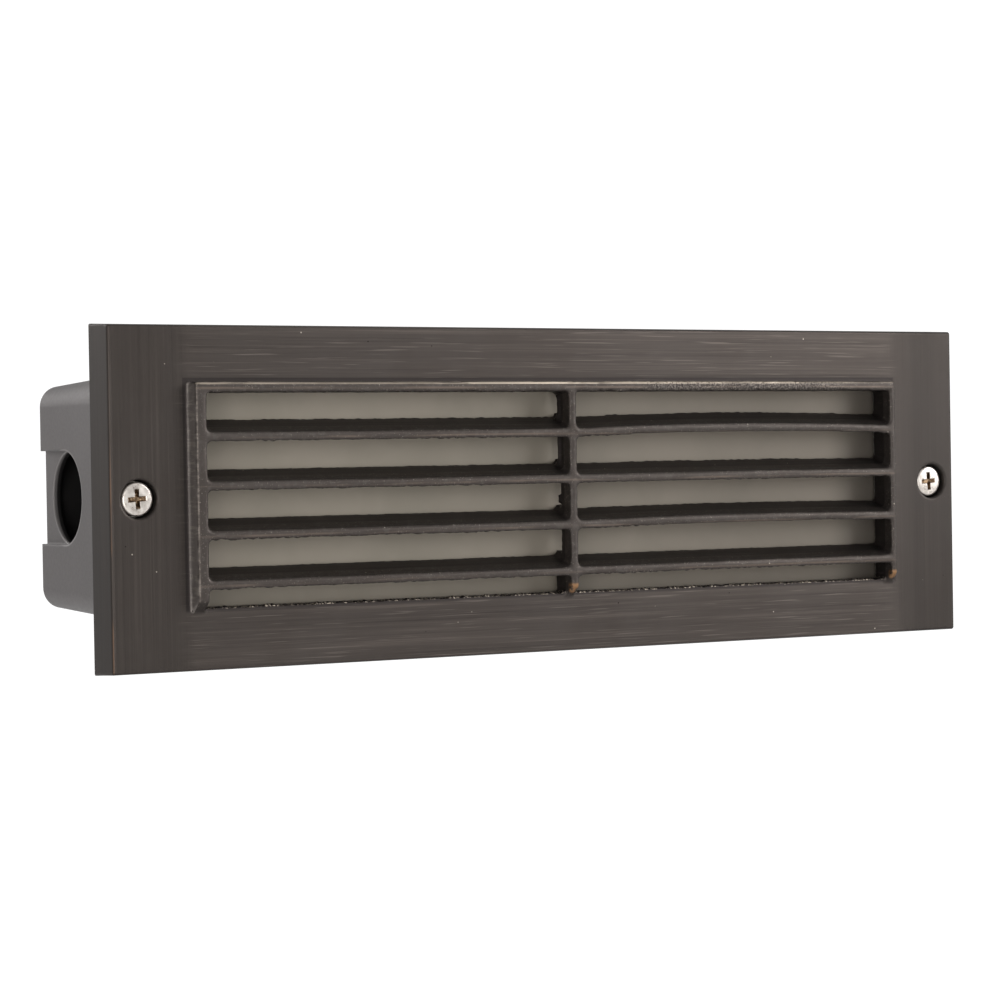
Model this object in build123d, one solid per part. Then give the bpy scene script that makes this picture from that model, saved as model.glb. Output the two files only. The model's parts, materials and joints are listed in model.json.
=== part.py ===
"""Louvred step light for a brick wall: a cast brass louvre plate on a die-cast back box.

Millimetres.  X runs along the plate, Y into the wall, Z up.  The origin is the middle of the
wall face: the plane Y = 0 is where the rim of the face plate sits on the wall.
"""
from build123d import *
import math
import os

# ---- face plate: one brass casting with the louvres -------------------------------------
PLATE_W = 235.0            # 9-1/4 in, at the front face
PLATE_H = 76.0             # 3 in, at the front face
PLATE_T = 9.5              # 3/8 in
PLATE_DRAFT = 3.0          # degrees, the back is larger
EDGE_EASE = 0.4
FACE_WALL = 4.0            # thickness of the front wall, behind it the casting is hollow
RIM_WALL = 3.2
FACE_Y = -PLATE_T
POCKET_Y = FACE_Y + FACE_WALL

# raised frame round the louvres, open at the bottom
FRAME_PROUD = 3.2
FRAME_LEFT, FRAME_RIGHT = -98.8, 97.4          # feet of the side bars
FRAME_TOP, FRAME_FOOT = 25.25, -25.4
FRAME_DRAFT = 0.8                              # each side leans in by this much
FRAME_TOP_DRAFT = 0.6
FOOT_SLOPE = 2.6                               # the bar ends slope back to the plate
FRONT_Y = FACE_Y - FRAME_PROUD

# louvre opening and blades
OPEN_LEFT, OPEN_RIGHT = -95.5, 95.1
OPEN_TOP, OPEN_LIP = 23.1, -24.1
MULLION_W = 2.0
MULLION_DEPTH = 4.8
BLADES = 4
BLADE_TOP = 14.3                               # front top edge of the upper blade
BLADE_PITCH = 10.87
BLADE_H = 2.1
BLADE_RISE = 2.95                              # a blade climbs this much to its back edge
BLADE_SLOPE = math.atan(BLADE_RISE / (POCKET_Y - FRONT_Y))
CELL_ROUND = 1.0
RIGHT_BOW = (0.8, 0.1, 0.5, 0.1)               # the right blades were cast with this camber

# cover screws, one at each end
SCREW_X = 110.6
BORE_R, BORE_DEPTH = 4.3, 4.0
SCREW_HOLE_R = 2.45
BOSS_R = 6.2
HEAD_R, HEAD_H, HEAD_SUNK = 3.8, 2.3, 1.1
WASHER_T = 0.5
SHANK_R, SCREW_TIP_Y = 2.0, 9.6
THREAD_FIT = 0.05

# ---- back box: die-cast aluminium, sized to take the place of a brick ---------------------
BOX_DEPTH = 66.5
BOX_BACK_L, BOX_BACK_H = 202.0, 53.3
BOX_DRAFT = 2.6
BOX_ROUND = 5.0
END_WALL, SIDE_WALL, BACK_WALL = 3.4, 3.2, 2.8
EAR_W, EAR_T = 10.4, 4.0
EAR_END_X = 114.0                              # inside the rim of the plate
EAR_HUB_R, EAR_HUB_Y = 3.4, 8.0

# conduit entries, one in each end wall: 7/8 in holes for half-inch conduit fittings
ENTRY_Y = 51.3
ENTRY_R = 11.1
RELIEF_DEPTH = 1.3                             # channel from the hole to the back edge

# ---- lens and seals ------------------------------------------------------------------------
TONGUE_L, TONGUE_H, TONGUE_W = 206.8, 58.9, 2.2
TONGUE_Y = -2.0
GASKET_GAP = 0.1
LENS_L, LENS_H, LENS_T = 201.2, 53.7, 3.2
LENS_BED = 0.8

# ---- inside ----------------------------------------------------------------------------------
PAN_L, PAN_T = 168.0, 1.0
PAN_FRONT_Y, PAN_BACK_Y = 8.0, 31.0
PAN_FRONT_H, PAN_BACK_H = 46.0, 24.0
PAN_LIP = 1.6
PAN_BOSS_X, PAN_BOSS_R = 40.0, 4.0
LAMP_Y = 19.5
HOLDER_R, HOLDER_FLANGE_R = 7.4, 9.4
HOLDER_L, HOLDER_FLANGE_T = 15.0, 1.5
WEDGE_W, WEDGE_T, WEDGE_L = 9.6, 2.4, 9.0
BULB_R, BULB_NECK_R, BULB_L, GLASS = 7.9, 4.6, 29.0, 0.8
LAMP_FLATS = 24                                # flats round the lamps and their holders
LEAD_R, LEAD_BEND = 1.2, 4.0
LEAD_Z = -17.0
WIRE_SIDES = 6                                 # flats on the leads and filaments
CONNECTORS = ((-12.0, 45.0), (12.0, 51.5))     # X and Y of the two wire connectors
CONNECTOR_R, CONNECTOR_L, CONNECTOR_MOUTH_Z = 5.6, 22.0, -8.0
CONNECTOR_TAPER = 7.0                          # degrees
PLUG_FLANGE_R, PLUG_FLANGE_T = 13.2, 1.6
PLUG_SKIRT_L, PLUG_SKIRT_T, PLUG_FIT = 7.0, 1.6, 0.09

LEFT, RIGHT = -1, 1


def wall_plane(y):
    """Sketch plane across the light at depth y: local x is X, local y is Z, normal is -Y."""
    return Plane.XZ.offset(-y)


def slab(y_front, y_back, sketch):
    """Extrude a sketch of X and Z between two depths."""
    return extrude(wall_plane(y_back) * sketch, amount=y_back - y_front)


def along_x(x_start, length, radius, y, z=0.0):
    """Cylinder along +X from x_start."""
    return extrude(Plane.YZ.offset(x_start) * Pos(y, z) * Circle(radius), amount=length)


def along_y(x, y_start, length, radius, z=0.0):
    """Cylinder along +Y from y_start."""
    return slab(y_start, y_start + length, Pos(x, z) * Circle(radius))


def block(x0, x1, y0, y1, z0, z1):
    return Pos((x0 + x1) / 2, (y0 + y1) / 2, (z0 + z1) / 2) * Box(x1 - x0, y1 - y0, z1 - z0)


def mirror_x(shape):
    return mirror(shape, about=Plane.YZ)


# ---------------------------------------------------------------------------------------------
# face plate
# ---------------------------------------------------------------------------------------------
def plate_body():
    """Drafted slab with the front edges eased."""
    grow = 2 * PLATE_T * math.tan(math.radians(PLATE_DRAFT))
    outline = Rectangle(PLATE_W + grow, PLATE_H + grow)
    body = extrude(wall_plane(0) * outline, amount=PLATE_T, taper=PLATE_DRAFT)
    front = body.faces().sort_by(Axis.Y)[0]
    return chamfer(front.edges(), EDGE_EASE)


def raised_frame():
    """Wedge-sided block that the louvres are cut from."""
    def outline(left, right, bottom, top):
        return Pos((left + right) / 2, (bottom + top) / 2) * Rectangle(right - left, top - bottom)

    foot = wall_plane(FACE_Y) * outline(FRAME_LEFT, FRAME_RIGHT, FRAME_FOOT, FRAME_TOP)
    front = wall_plane(FRONT_Y) * outline(FRAME_LEFT + FRAME_DRAFT, FRAME_RIGHT - FRAME_DRAFT,
                                          FRAME_FOOT + FOOT_SLOPE, FRAME_TOP - FRAME_TOP_DRAFT)
    return loft([foot, front])


def cell_outline(x0, x1, bottom, top, bow_bottom, bow_top):
    """Gap between two blades, square to their slope, with rounded corners."""
    middle = (x0 + x1) / 2
    bottom, top = bottom * math.cos(BLADE_SLOPE), top * math.cos(BLADE_SLOPE)

    def edge(start, end, z, bow):
        if bow == 0:
            return Line((start, z), (end, z))
        return ThreePointArc((start, z), (middle, z + bow), (end, z))

    outline = Curve() + [
        edge(x0, x1, bottom, bow_bottom),
        Line((x1, bottom), (x1, top)),
        edge(x1, x0, top, bow_top),
        Line((x0, top), (x0, bottom)),
    ]
    face = make_face(outline)
    return fillet(face.vertices(), CELL_ROUND)


def slanted_cut(outline, y_from, y_to, z_low=-PLATE_H, z_high=PLATE_H):
    """Drive an outline through the casting at the slope of the blades, between two depths."""
    climb = (0, math.cos(BLADE_SLOPE), math.sin(BLADE_SLOPE))
    square_to_blades = Plane(origin=(0, FRONT_Y, 0), x_dir=(1, 0, 0), z_dir=[-v for v in climb])
    prism = extrude(square_to_blades * outline, amount=PLATE_H / 2, both=True)
    return prism & block(-PLATE_W, PLATE_W, y_from, y_to, z_low, z_high)


def blade_z(number):
    """Front top edge of a blade, counted from the top."""
    return BLADE_TOP - number * BLADE_PITCH


def bay_cells(x0, x1, bows):
    """The gaps of one bay above, between and below its blades."""
    cutters = []
    reach = 1.0
    y_from, y_to = FRONT_Y - reach, POCKET_Y + reach
    for number in range(BLADES):
        top = OPEN_TOP if number == 0 else blade_z(number - 1) - BLADE_H
        bow_top = 0 if number == 0 else bows[number - 1]
        outline = cell_outline(x0, x1, blade_z(number), top, bows[number], bow_top)
        cutters.append(slanted_cut(outline, y_from, y_to, z_high=OPEN_TOP))
    under = blade_z(BLADES - 1) - BLADE_H
    low = cell_outline(x0, x1, under - 12, under, 0, bows[-1])
    cutters.append(slanted_cut(low, FACE_Y, y_to, z_low=OPEN_LIP))
    cutters.append(slanted_cut(low, y_from, FACE_Y, z_low=FRAME_FOOT - 1))
    return cutters


def mullion_relief():
    """Space behind the mullion, which is shallower than the blades."""
    cutters = []
    tops = [OPEN_TOP - BLADE_RISE] + [blade_z(n) - BLADE_H for n in range(BLADES - 1)]
    for number in range(BLADES):
        bottom, top = blade_z(number) + 1.1, tops[number] - 0.5
        outline = cell_outline(-MULLION_W / 2 - 4.5, MULLION_W / 2 + 4.5, bottom, top, 0, 0)
        cutters.append(slanted_cut(outline, FRONT_Y + MULLION_DEPTH, POCKET_Y + 1.0))
    return cutters


def tongue_outline():
    return RectangleRounded(TONGUE_L, TONGUE_H, BOX_ROUND)


def tongue_inside():
    return RectangleRounded(TONGUE_L - 2 * TONGUE_W, TONGUE_H - 2 * TONGUE_W, BOX_ROUND - TONGUE_W)


def back_of_plate():
    """What is cut from and added to the back of the slab: pocket, tongue, bosses and ribs."""
    pocket = slab(POCKET_Y, 0, RectangleRounded(PLATE_W - 2 * RIM_WALL, PLATE_H - 2 * RIM_WALL, 3.0))
    tongue = slab(POCKET_Y, TONGUE_Y, tongue_outline() - tongue_inside())
    bosses = [along_y(side * SCREW_X, POCKET_Y, -0.4 - POCKET_Y, BOSS_R) for side in (LEFT, RIGHT)]
    rib_z = PLATE_H / 2 - RIM_WALL + 0.5
    ribs = []
    for x in (-66, -22, 22, 66):
        for side in (-1, 1):
            near, far = sorted((side * (TONGUE_H / 2 - 0.5), side * rib_z))
            ribs.append(block(x - 1.25, x + 1.25, POCKET_Y - 0.5, TONGUE_Y - 0.6, near, far))
    return pocket, [tongue] + bosses + ribs


def make_face_plate():
    plate = plate_body() + raised_frame()
    pocket, added = back_of_plate()
    plate = plate - pocket
    for piece in added:
        plate = plate + piece
    bays = ((OPEN_LEFT, -MULLION_W / 2, (0,) * BLADES), (MULLION_W / 2, OPEN_RIGHT, RIGHT_BOW))
    for x0, x1, bows in bays:
        for cut in bay_cells(x0, x1, bows):
            plate = plate - cut
    for cut in mullion_relief():
        plate = plate - cut
    for side in (LEFT, RIGHT):
        plate = plate - along_y(side * SCREW_X, FACE_Y - 1, 1 + BORE_DEPTH, BORE_R)
        plate = plate - along_y(side * SCREW_X, FACE_Y, PLATE_T, SCREW_HOLE_R)
    return plate


# ---------------------------------------------------------------------------------------------
# lens, seals and cover screws
# ---------------------------------------------------------------------------------------------
def make_lens():
    front = POCKET_Y + LENS_BED
    return slab(front, front + LENS_T, RectangleRounded(LENS_L, LENS_H, 2.2))


def make_lens_seal():
    """Silicone bed in front of the lens and round its edge."""
    outer = tongue_inside()
    opening_w = OPEN_RIGHT - OPEN_LEFT + 1.6
    opening_h = OPEN_TOP - OPEN_LIP + 1.2
    middle_x = (OPEN_LEFT + OPEN_RIGHT) / 2
    middle_z = (OPEN_TOP + OPEN_LIP) / 2
    opening = Pos(middle_x, middle_z) * RectangleRounded(opening_w, opening_h, 1.5)
    bed = slab(POCKET_Y, POCKET_Y + LENS_BED, outer - opening)
    lens_outline = RectangleRounded(LENS_L, LENS_H, 2.2)
    bead_y = POCKET_Y + LENS_BED
    bead = slab(bead_y, bead_y + LENS_T - 0.4, outer - lens_outline)
    return bed + bead


def make_face_gasket():
    """Flat ring between the tongue of the plate and the front edge of the box."""
    return slab(TONGUE_Y, -GASKET_GAP, tongue_outline() - tongue_inside())


def cross_recess(x, y):
    """Cross recess of a screw head, cut from depth y inwards and narrowing as it goes."""
    plane = wall_plane(y - 0.1) * Pos(x, 0)
    arms = [Rot(0, 0, angle) * Rectangle(4.2, 0.95) for angle in (4, 94)]
    return extrude(plane * (arms[0] + arms[1]), amount=-1.5, taper=8)


def make_cover_screw(side):
    """Bevelled head with a cross recess; the thread is modelled as a plain shank."""
    x = side * SCREW_X
    top = FACE_Y + HEAD_SUNK
    head = along_y(x, top, HEAD_H, HEAD_R)
    head = chamfer(head.edges().sort_by(Axis.Y)[0], 0.35)
    shank = along_y(x, top + HEAD_H - 0.2, SCREW_TIP_Y - top - HEAD_H + 0.2, SHANK_R)
    return head + shank - cross_recess(x, top)


def make_screw_washer(side):
    x = side * SCREW_X
    y = FACE_Y + HEAD_SUNK + HEAD_H
    return slab(y, y + WASHER_T, Pos(x, 0) * (Circle(BORE_R - 0.35) - Circle(SHANK_R + 0.06)))


# ---------------------------------------------------------------------------------------------
# back box
# ---------------------------------------------------------------------------------------------
def drafted_block(y_back, length, height, radius):
    """Block that grows towards the plate with the draft of the box."""
    outline = RectangleRounded(length, height, radius)
    return extrude(wall_plane(y_back) * outline, amount=y_back, taper=-BOX_DRAFT)


def make_ear(side):
    """Lug at the front of the end wall that takes a cover screw."""
    inner_x = BOX_BACK_L / 2 + 0.5
    tab = Pos(side * (EAR_END_X + inner_x) / 2, 0) * Rectangle(EAR_END_X - inner_x, EAR_W)
    ear = slab(0, EAR_T, tab)
    ear = chamfer(ear.edges().filter_by(Axis.Y).sort_by(Axis.X, reverse=side > 0)[:2], 2.4)
    ear = ear + along_y(side * SCREW_X, 0, EAR_HUB_Y, EAR_HUB_R)
    root = side * (inner_x + 2.0)
    tip = side * (SCREW_X - 1.0)
    web = make_face(Polyline((root, EAR_T), (tip, EAR_T), (root, EAR_T + 7), close=True))
    ear = ear + extrude(Plane.XY * web, amount=1.2, both=True)
    return ear


def entry_relief(side):
    """Shallow channel as wide as a conduit entry, from the hole to the back edge of the box."""
    floor_x = BOX_BACK_L / 2 - RELIEF_DEPTH
    low_x, high_x = sorted((side * floor_x, side * (floor_x + 6)))
    return block(low_x, high_x, ENTRY_Y, BOX_DEPTH + 1, -ENTRY_R, ENTRY_R)


def make_back_box():
    box = drafted_block(BOX_DEPTH, BOX_BACK_L, BOX_BACK_H, BOX_ROUND)
    inside_y = BOX_DEPTH - BACK_WALL
    shrink = 2 * BACK_WALL * math.tan(math.radians(BOX_DRAFT))
    inside_l = BOX_BACK_L - 2 * END_WALL + shrink
    inside_h = BOX_BACK_H - 2 * SIDE_WALL + shrink
    box = box - drafted_block(inside_y, inside_l, inside_h, 2.5)
    for side in (LEFT, RIGHT):
        box = box + make_ear(side)
        box = box - along_y(side * SCREW_X, -1, EAR_HUB_Y + 2, SHANK_R + THREAD_FIT)
        boss_l = inside_y - PAN_BACK_Y - PAN_T + 0.5
        boss = slab(PAN_BACK_Y + PAN_T, inside_y + 0.5, Pos(side * PAN_BOSS_X, 0) * Circle(PAN_BOSS_R))
        box = box + boss
        box = box - along_y(side * PAN_BOSS_X, PAN_BACK_Y, boss_l / 2, 1.4)
        box = box - entry_relief(side)
        start = side * (BOX_BACK_L / 2 - END_WALL) - 5
        box = box - along_x(start, 10, ENTRY_R, ENTRY_Y)
    return box


def make_closure_plug():
    """Push-in plug in the right entry: flange outside, split skirt in the hole."""
    ahead = BOX_DEPTH - ENTRY_Y + PLUG_FLANGE_R
    seat_x = BOX_BACK_L / 2 + ahead * math.tan(math.radians(BOX_DRAFT)) + 0.1
    flange = along_x(seat_x, PLUG_FLANGE_T, PLUG_FLANGE_R, ENTRY_Y)
    skirt_r = ENTRY_R - PLUG_FIT
    skirt = along_x(seat_x - PLUG_SKIRT_L, PLUG_SKIRT_L, skirt_r, ENTRY_Y)
    hollow = along_x(seat_x - PLUG_SKIRT_L, PLUG_SKIRT_L, skirt_r - PLUG_SKIRT_T, ENTRY_Y)
    plug = flange + (skirt - hollow)
    slit_x = seat_x - PLUG_SKIRT_L
    plug = plug - block(slit_x - 1, slit_x + 3.5, ENTRY_Y - 20, ENTRY_Y + 20, -1, 1)
    return plug - block(slit_x - 1, slit_x + 3.5, ENTRY_Y - 1, ENTRY_Y + 1, -20, 20)


# ---------------------------------------------------------------------------------------------
# reflector, lamp holders and lamps
# ---------------------------------------------------------------------------------------------
def pan_profile(inset):
    """Side view of the reflector channel, y then z."""
    front, back = PAN_FRONT_H / 2 - inset, PAN_BACK_H / 2 - inset
    y0, y1 = PAN_FRONT_Y, PAN_BACK_Y + PAN_T - inset
    return make_face(Polyline((y0, -front), (y1, -back), (y1, back), (y0, front), close=True))


def make_reflector_pan():
    """Bent sheet pan: sloping sides, flat back, upright ends and a lip along the front edges."""
    start = -PAN_L / 2
    outside = extrude(Plane.YZ.offset(start) * pan_profile(0), amount=PAN_L)
    inside = extrude(Plane.YZ.offset(start + PAN_T) * pan_profile(PAN_T), amount=PAN_L - 2 * PAN_T)
    pan = outside - inside
    for side in (-1, 1):
        near, far = sorted((side * (PAN_FRONT_H / 2 - PAN_T), side * (PAN_FRONT_H / 2 + PAN_LIP)))
        pan = pan + block(start, -start, PAN_FRONT_Y, PAN_FRONT_Y + PAN_T, near, far)
        x = side * PAN_L / 2
        pan = pan - along_x(x - 2, 4, HOLDER_R + 0.1, LAMP_Y)
        pan = pan - along_y(side * PAN_BOSS_X, PAN_BACK_Y - 2, 5, 1.9)
    return pan


def make_reflector_screws():
    screws = []
    for side in (LEFT, RIGHT):
        x = side * PAN_BOSS_X
        head = along_y(x, PAN_BACK_Y - 2.0, 2.0, 3.2)
        screw = head + along_y(x, PAN_BACK_Y - 0.1, 9.0, 1.35)
        screws.append(screw - cross_recess(x, PAN_BACK_Y - 2.0))
    return Compound(children=screws)


def flats_along_x(x_start, length, radius):
    """Bar of many flats along the lamp's axis."""
    section = Plane.YZ.offset(x_start) * Pos(LAMP_Y, 0) * RegularPolygon(radius, LAMP_FLATS)
    return extrude(section, amount=length)


def make_lamp_holder():
    """Left lamp holder: round body through the end of the pan, flange inside, slot for the lamp."""
    wall_x = -PAN_L / 2 + PAN_T
    mouth_x = wall_x + HOLDER_FLANGE_T
    body = flats_along_x(mouth_x - HOLDER_L, HOLDER_L, HOLDER_R)
    body = body + flats_along_x(wall_x, HOLDER_FLANGE_T, HOLDER_FLANGE_R)
    clip_z = HOLDER_R + 0.9
    body = body + block(wall_x - PAN_T - 2.2, wall_x - PAN_T, LAMP_Y - 2, LAMP_Y + 2, -clip_z, clip_z)
    slot_w, slot_z = WEDGE_W / 2 + 0.3, WEDGE_T / 2 + 0.9
    slot_x = mouth_x - WEDGE_L - 1.5
    body = body - block(slot_x, mouth_x + 1, LAMP_Y - slot_w, LAMP_Y + slot_w, -slot_z, slot_z)
    for z in (-3.2, 3.2):
        body = body - along_y(mouth_x - HOLDER_L + 3.4, LAMP_Y + 2.0, 8.0, LEAD_R, z)
    return body


def make_holder_contacts():
    """Two bowed contact springs that grip the lamp's wedge, in the left holder."""
    mouth_x = -PAN_L / 2 + PAN_T + HOLDER_FLANGE_T
    back_x, tip_x = mouth_x - WEDGE_L - 1.4, mouth_x - 1.0
    springs = []
    for side in (-1, 1):
        outer = side * (WEDGE_T / 2 + 0.7)
        near = side * (WEDGE_T / 2 + 0.35)
        centre = ThreePointArc((back_x, outer), ((back_x + tip_x) / 2, near), (tip_x, outer))
        strip = Plane.XZ.offset(-LAMP_Y) * trace(centre, line_width=0.25)
        springs.append(extrude(strip, amount=1.6, both=True))
    return Compound(children=springs)


def ring(x, radius):
    """Corners of a ring of flats round the lamp's axis."""
    turns = [2 * math.pi * step / LAMP_FLATS for step in range(LAMP_FLATS)]
    return [(x, LAMP_Y + radius * math.cos(turn), radius * math.sin(turn)) for turn in turns]


def bulb_form(radius, neck, base_x, tip_x):
    """Bulb along +X in flats: a flared neck, a straight tube and a tip in two tapers."""
    outline = ((base_x, neck), (base_x + 6.5, radius), (tip_x - radius * 0.75, radius),
               (tip_x - radius * 0.25, radius * 0.7), (tip_x, radius * 0.2))
    rings = [ring(x, r) for x, r in outline]
    loops = [rings[0], rings[-1]]
    for near, far in zip(rings, rings[1:]):
        loops += [(near[i - 1], near[i], far[i], far[i - 1]) for i in range(LAMP_FLATS)]
    return Solid(Shell([make_face(Polyline(*loop, close=True)) for loop in loops]))


def make_lamp_bulb():
    """Left lamp: tubular glass bulb, hollow, on a flat glass wedge."""
    mouth_x = -PAN_L / 2 + PAN_T + HOLDER_FLANGE_T
    base_x = mouth_x + 0.4
    tip_x = base_x + BULB_L
    outer = bulb_form(BULB_R, BULB_NECK_R, base_x, tip_x)
    inner = bulb_form(BULB_R - GLASS, BULB_NECK_R - GLASS, base_x + 1.8, tip_x - GLASS)
    wedge = block(mouth_x - WEDGE_L, base_x + 1.0, LAMP_Y - WEDGE_W / 2, LAMP_Y + WEDGE_W / 2,
                  -WEDGE_T / 2, WEDGE_T / 2)
    return outer - inner + wedge


def wire(path, radius, transition=Transition.TRANSFORMED):
    """Sweep a wire with a few flats along a path."""
    section = Plane(origin=path @ 0, z_dir=path % 0) * RegularPolygon(radius, WIRE_SIDES)
    return sweep(section, path=path, transition=transition)


def make_lamp_filament():
    """Left filament with its two support wires, inside the bulb."""
    mouth_x = -PAN_L / 2 + PAN_T + HOLDER_FLANGE_T
    foot_x = mouth_x + 2.4
    top_x = foot_x + 14.0
    path = Polyline((foot_x, LAMP_Y - 3.0, 0), (top_x - 2, LAMP_Y - 3.6, 0), (top_x, LAMP_Y, 0),
                    (top_x - 2, LAMP_Y + 3.6, 0), (foot_x, LAMP_Y + 3.0, 0))
    return wire(path, 0.3, Transition.RIGHT)


# ---------------------------------------------------------------------------------------------
# leads and connectors in the space behind the reflector
# ---------------------------------------------------------------------------------------------
def make_lead(side, number):
    """One lead from a holder, back along the end wall, down and across into its connector."""
    connector_x, run_y = CONNECTORS[number]
    start_x = side * (PAN_L / 2 - PAN_T - HOLDER_FLANGE_T + HOLDER_L - 3.4)
    start_z = (-3.2, 3.2)[number]
    end_x = connector_x + side * 1.6
    path = FilletPolyline((start_x, LAMP_Y + 4.0, start_z), (start_x, LAMP_Y + 12.0, start_z),
                          (start_x, run_y, LEAD_Z), (end_x, run_y, LEAD_Z),
                          (end_x, run_y, CONNECTOR_MOUTH_Z + 6.0), radius=LEAD_BEND)
    return wire(path, LEAD_R)


def make_holder_leads(side):
    return Compound(children=[make_lead(side, number) for number in range(len(CONNECTORS))])


def make_connector(x, y):
    """Twist-on connector: tapered body with grip flats and two wings, hollow, its mouth down."""
    mouth = Plane.XY.offset(CONNECTOR_MOUTH_Z)
    body = extrude(mouth * RegularPolygon(CONNECTOR_R, 12), amount=CONNECTOR_L, taper=CONNECTOR_TAPER)
    hollow = extrude(mouth * RegularPolygon(CONNECTOR_R - 1.2, 12), amount=CONNECTOR_L - 4,
                     taper=CONNECTOR_TAPER)
    wings = extrude(mouth * Rectangle(2 * CONNECTOR_R + 4.0, 2.0), amount=9.0)
    return Pos(x, y, 0) * (body + wings - hollow)


def make_wire_connectors():
    return Compound(children=[make_connector(x, y) for x, y in CONNECTORS])


def build():
    holder, contacts = make_lamp_holder(), make_holder_contacts()
    bulb, filament = make_lamp_bulb(), make_lamp_filament()
    return {
        "face_plate": make_face_plate(),
        "face_gasket": make_face_gasket(),
        "lens": make_lens(),
        "lens_seal": make_lens_seal(),
        "left_cover_screw": make_cover_screw(LEFT),
        "right_cover_screw": make_cover_screw(RIGHT),
        "left_screw_washer": make_screw_washer(LEFT),
        "right_screw_washer": make_screw_washer(RIGHT),
        "back_box": make_back_box(),
        "closure_plug": make_closure_plug(),
        "reflector_pan": make_reflector_pan(),
        "reflector_screws": make_reflector_screws(),
        "left_lamp_holder": holder,
        "right_lamp_holder": mirror_x(holder),
        "left_holder_contacts": contacts,
        "right_holder_contacts": mirror_x(contacts),
        "left_lamp_bulb": bulb,
        "right_lamp_bulb": mirror_x(bulb),
        "left_lamp_filament": filament,
        "right_lamp_filament": mirror_x(filament),
        "left_holder_leads": make_holder_leads(LEFT),
        "right_holder_leads": make_holder_leads(RIGHT),
        "wire_connectors": make_wire_connectors(),
    }


os.makedirs("parts", exist_ok=True)
for name, shape in build().items():
    export_step(shape, f"parts/{name}.step")
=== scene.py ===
"""Louvred brick light: camera, light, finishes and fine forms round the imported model.  Metres."""
import json
import math

import bpy
import numpy as np
from mathutils import Matrix, Vector


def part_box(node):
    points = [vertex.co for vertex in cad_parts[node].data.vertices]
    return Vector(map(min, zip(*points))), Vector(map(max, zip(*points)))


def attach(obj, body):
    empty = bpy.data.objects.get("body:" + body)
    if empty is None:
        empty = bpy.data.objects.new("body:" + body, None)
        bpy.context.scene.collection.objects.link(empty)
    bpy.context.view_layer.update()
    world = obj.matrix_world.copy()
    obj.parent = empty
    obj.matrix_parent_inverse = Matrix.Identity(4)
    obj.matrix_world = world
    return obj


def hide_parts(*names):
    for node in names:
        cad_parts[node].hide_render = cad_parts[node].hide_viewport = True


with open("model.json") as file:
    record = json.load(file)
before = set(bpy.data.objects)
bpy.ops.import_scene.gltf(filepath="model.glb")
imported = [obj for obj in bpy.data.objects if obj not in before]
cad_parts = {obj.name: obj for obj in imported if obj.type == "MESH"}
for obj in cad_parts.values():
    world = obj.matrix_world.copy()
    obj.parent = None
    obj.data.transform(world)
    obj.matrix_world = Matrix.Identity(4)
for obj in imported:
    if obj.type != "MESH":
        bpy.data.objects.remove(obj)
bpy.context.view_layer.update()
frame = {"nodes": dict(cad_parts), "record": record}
scene = bpy.context.scene
MM = 0.001

# Places on the casting.
PLATE_Y = -9.5 * MM             # flat of the plate
FRONT_Y = -12.7 * MM            # front of the frame and blades
POCKET_Y = -5.5 * MM            # back of the louvre field
MULLION_BACK_Y = -7.9 * MM
FRAME_MIDDLE_X = -0.7 * MM
FIELD_LEFT, FIELD_RIGHT = -95.9 * MM, 95.5 * MM
LIP_Z = -24.1 * MM              # edge of the plate below the louvres
BLADE_TOP, BLADE_PITCH, BLADE_HEIGHT = 14.3 * MM, 10.87 * MM, 2.1 * MM
BLADE_CLIMB = 0.41              # rise of a blade for each unit of depth

# Places on the box.
BOX_DRAFT = 0.0454              # what each side wall gives way for each unit of depth
BOX_ROOM_X, BOX_ROOM_Z, BOX_ROOM_BACK = 102.0 * MM, 27.7 * MM, 65.0 * MM
CONDUIT_Y = 51.3 * MM

# Cover screws, in millimetres.
SCREW_X, HEAD_Y, TIP_Y = 110.6, -8.4, 9.6
HEAD_R, HEAD_H, SHANK_R = 3.8, 2.3, 2.0
THREAD_PITCH, THREAD_GROOVE, THREAD_STEPS = 0.794, 0.42, 7


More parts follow.
